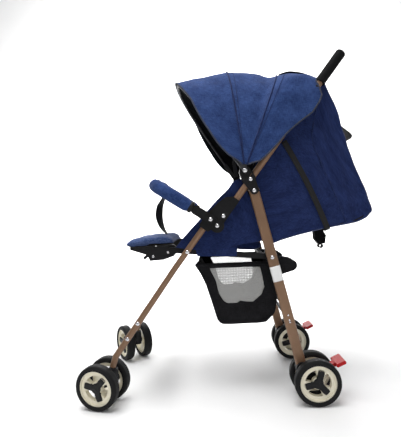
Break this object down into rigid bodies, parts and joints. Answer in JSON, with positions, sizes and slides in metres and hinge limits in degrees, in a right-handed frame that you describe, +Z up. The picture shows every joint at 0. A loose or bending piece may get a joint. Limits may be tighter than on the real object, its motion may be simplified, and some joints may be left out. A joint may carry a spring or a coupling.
{
  "type": "baby stroller",
  "caption": "Lightweight folding stroller with twin swivel casters, reclining seat, fan canopy, padded bumper bar, leg rest and a mesh shopping basket.",
  "frame": {"origin": "on the floor under the centre of the whole box at rest", "axes": "+X forward in travel, +Y the stroller's left, +Z up"},
  "size_m": [0.8735, 0.5192, 0.9946],
  "materials": {
    "tyre": "matte",
    "wheel_plastic": "satin",
    "frame_paint": "satin",
    "black_plastic": "satin",
    "grey_plastic": "satin",
    "foam": "matte",
    "steel": "polished",
    "dark_steel": "satin",
    "red_plastic": "gloss",
    "navy_fabric": "woven melange",
    "blue_fabric": "woven melange",
    "mesh_fabric": "woven",
    "webbing": "ribbed"
  },
  "bodies": {
    "rear_frame": {"rear_leg_left": "frame_paint", "rear_leg_right": "frame_paint", "rear_axle": "steel", "rear_wheel_housings": "black_plastic", "rear_braces": "dark_steel", "rear_fasteners": "steel"},
    "upper_frame": {"handle_tube_left": "frame_paint", "handle_tube_right": "frame_paint", "grip_left": "foam", "grip_right": "foam", "handle_crossbar": "black_plastic", "upper_hinges": "black_plastic", "canopy_brackets": "black_plastic", "upper_rivets": "steel", "recline_straps": "webbing", "rear_shell": "navy_fabric"},
    "front_frame": {"front_leg_left": "frame_paint", "front_leg_right": "frame_paint", "lower_hinges": "black_plastic", "footrest_plate": "grey_plastic", "front_fasteners": "steel"},
    "seat_frame": {"seat_rails": "dark_steel", "seat_pad": "navy_fabric", "side_wings": "navy_fabric", "basket": "mesh_fabric"},
    "backrest": {"backrest_pad": "navy_fabric", "harness": "webbing", "recline_buckle": "black_plastic"},
    "leg_rest": {"leg_rest_brackets": "black_plastic", "leg_rest_pad": "blue_fabric"},
    "leg_rest_lever": {"leg_rest_lever": "black_plastic"},
    "bumper": {"bumper_bar": "black_plastic", "bumper_pad": "blue_fabric", "crotch_strap": "webbing"},
    "canopy_mid": {"canopy_bow_mid": "dark_steel", "canopy_rear": "blue_fabric"},
    "canopy_front": {"canopy_bow_front": "dark_steel", "canopy_front": "blue_fabric"},
    "caster_left": {"caster_fork_left": "black_plastic", "front_axle_left": "steel"},
    "caster_right": {"caster_fork_right": "black_plastic", "front_axle_right": "steel"},
    "brake_left": {"brake_pedal_left": "red_plastic"},
    "brake_right": {"brake_pedal_right": "red_plastic"},
    "wheel_rear_left_outer": {"tyre_rear_left_outer": "tyre", "wheel_rear_left_outer": "wheel_plastic"},
    "wheel_front_left_outer": {"tyre_front_left_outer": "tyre", "wheel_front_left_outer": "wheel_plastic"},
    "wheel_rear_left_inner": {"tyre_rear_left_inner": "tyre", "wheel_rear_left_inner": "wheel_plastic"},
    "wheel_front_left_inner": {"tyre_front_left_inner": "tyre", "wheel_front_left_inner": "wheel_plastic"},
    "wheel_rear_right_outer": {"tyre_rear_right_outer": "tyre", "wheel_rear_right_outer": "wheel_plastic"},
    "wheel_front_right_outer": {"tyre_front_right_outer": "tyre", "wheel_front_right_outer": "wheel_plastic"},
    "wheel_rear_right_inner": {"tyre_rear_right_inner": "tyre", "wheel_rear_right_inner": "wheel_plastic"},
    "wheel_front_right_inner": {"tyre_front_right_inner": "tyre", "wheel_front_right_inner": "wheel_plastic"}
  },
  "joints": [
    {"name": "frame_fold", "type": "hinge", "parent": "upper_frame", "child": "front_frame", "pos_m": [0.01217, 0.025, 0.509], "axis": [0, 1, 0], "range_deg": [0, 120], "deforming": ["rear_shell", "recline_straps", "canopy_rear", "canopy_front", "side_wings", "basket", "crotch_strap"]},
    {"name": "rear_leg_fold", "type": "hinge", "parent": "rear_frame", "child": "upper_frame", "pos_m": [-0.09714, 0.025, 0.60506], "axis": [0, -1, 0], "range_deg": [0, 80]},
    {"name": "seat_fold", "type": "hinge", "parent": "rear_frame", "child": "seat_frame", "pos_m": [-0.14067, 0.025, 0.412], "axis": [0, -1, 0], "range_deg": [0, 40]},
    {"name": "backrest_recline", "type": "hinge", "parent": "seat_frame", "child": "backrest", "pos_m": [-0.13483, 0.025, 0.458], "axis": [0, 1, 0], "range_deg": [0, 40], "deforming": ["rear_shell", "recline_straps"]},
    {"name": "leg_rest_tilt", "type": "hinge", "parent": "seat_frame", "child": "leg_rest", "pos_m": [0.15017, 0.025, 0.442], "axis": [0, 1, 0], "range_deg": [0, 60]},
    {"name": "leg_rest_release", "type": "hinge", "parent": "leg_rest", "child": "leg_rest_lever", "pos_m": [0.20917, 0.025, 0.44], "axis": [0, 1, 0], "range_deg": [0, 15]},
    {"name": "bumper_swing", "type": "hinge", "parent": "front_frame", "child": "bumper", "pos_m": [0.0302, 0.025, 0.52816], "axis": [0, -1, 0], "range_deg": [0, 30], "deforming": ["crotch_strap"]},
    {"name": "canopy_mid_fold", "type": "hinge", "parent": "upper_frame", "child": "canopy_mid", "pos_m": [-0.07289, 0.025, 0.66335], "axis": [0, -1, 0], "range_deg": [0, 30], "deforming": ["canopy_rear", "canopy_front"]},
    {"name": "canopy_front_fold", "type": "hinge", "parent": "canopy_mid", "child": "canopy_front", "pos_m": [-0.07289, 0.025, 0.66335], "axis": [0, -1, 0], "range_deg": [0, 15]},
    {"name": "caster_left_swivel", "type": "hinge", "parent": "front_frame", "child": "caster_left", "pos_m": [0.33317, 0.205, 0.09], "axis": [0, 0, 1], "continuous": true},
    {"name": "caster_right_swivel", "type": "hinge", "parent": "front_frame", "child": "caster_right", "pos_m": [0.33317, -0.155, 0.09], "axis": [0, 0, 1], "continuous": true},
    {"name": "brake_left_press", "type": "hinge", "parent": "rear_frame", "child": "brake_left", "pos_m": [-0.26883, 0.205, 0.08], "axis": [0, -1, 0], "range_deg": [0, 20]},
    {"name": "brake_right_press", "type": "hinge", "parent": "rear_frame", "child": "brake_right", "pos_m": [-0.26883, -0.155, 0.08], "axis": [0, -1, 0], "range_deg": [0, 20]},
    {"name": "wheel_rear_left_outer_spin", "type": "hinge", "parent": "rear_frame", "child": "wheel_rear_left_outer", "pos_m": [-0.24683, 0.24, 0.064], "axis": [0, 1, 0], "continuous": true},
    {"name": "wheel_front_left_outer_spin", "type": "hinge", "parent": "caster_left", "child": "wheel_front_left_outer", "pos_m": [0.37255, 0.23143, 0.064], "axis": [0.2368, 0.9715, 0], "continuous": true},
    {"name": "wheel_rear_left_inner_spin", "type": "hinge", "parent": "rear_frame", "child": "wheel_rear_left_inner", "pos_m": [-0.24683, 0.17, 0.064], "axis": [0, 1, 0], "continuous": true},
    {"name": "wheel_front_left_inner_spin", "type": "hinge", "parent": "caster_left", "child": "wheel_front_left_inner", "pos_m": [0.35597, 0.16342, 0.064], "axis": [0.2368, 0.9715, 0], "continuous": true},
    {"name": "wheel_rear_right_outer_spin", "type": "hinge", "parent": "rear_frame", "child": "wheel_rear_right_outer", "pos_m": [-0.24683, -0.19, 0.064], "axis": [0, 1, 0], "continuous": true},
    {"name": "wheel_front_right_outer_spin", "type": "hinge", "parent": "caster_right", "child": "wheel_front_right_outer", "pos_m": [0.32245, -0.20119, 0.064], "axis": [0.8241, 0.5664, 0], "continuous": true},
    {"name": "wheel_rear_right_inner_spin", "type": "hinge", "parent": "rear_frame", "child": "wheel_rear_right_inner", "pos_m": [-0.24683, -0.12, 0.064], "axis": [0, 1, 0], "continuous": true},
    {"name": "wheel_front_right_inner_spin", "type": "hinge", "parent": "caster_right", "child": "wheel_front_right_inner", "pos_m": [0.38014, -0.16155, 0.064], "axis": [0.8241, 0.5664, 0], "continuous": true}
  ],
  "couplings": [
    {"joint": "rear_leg_fold", "follows": "frame_fold", "ratio": 0.652},
    {"joint": "seat_fold", "follows": "frame_fold", "ratio": 0.31},
    {"joint": "canopy_front_fold", "follows": "canopy_mid_fold", "ratio": 0.5}
  ]
}
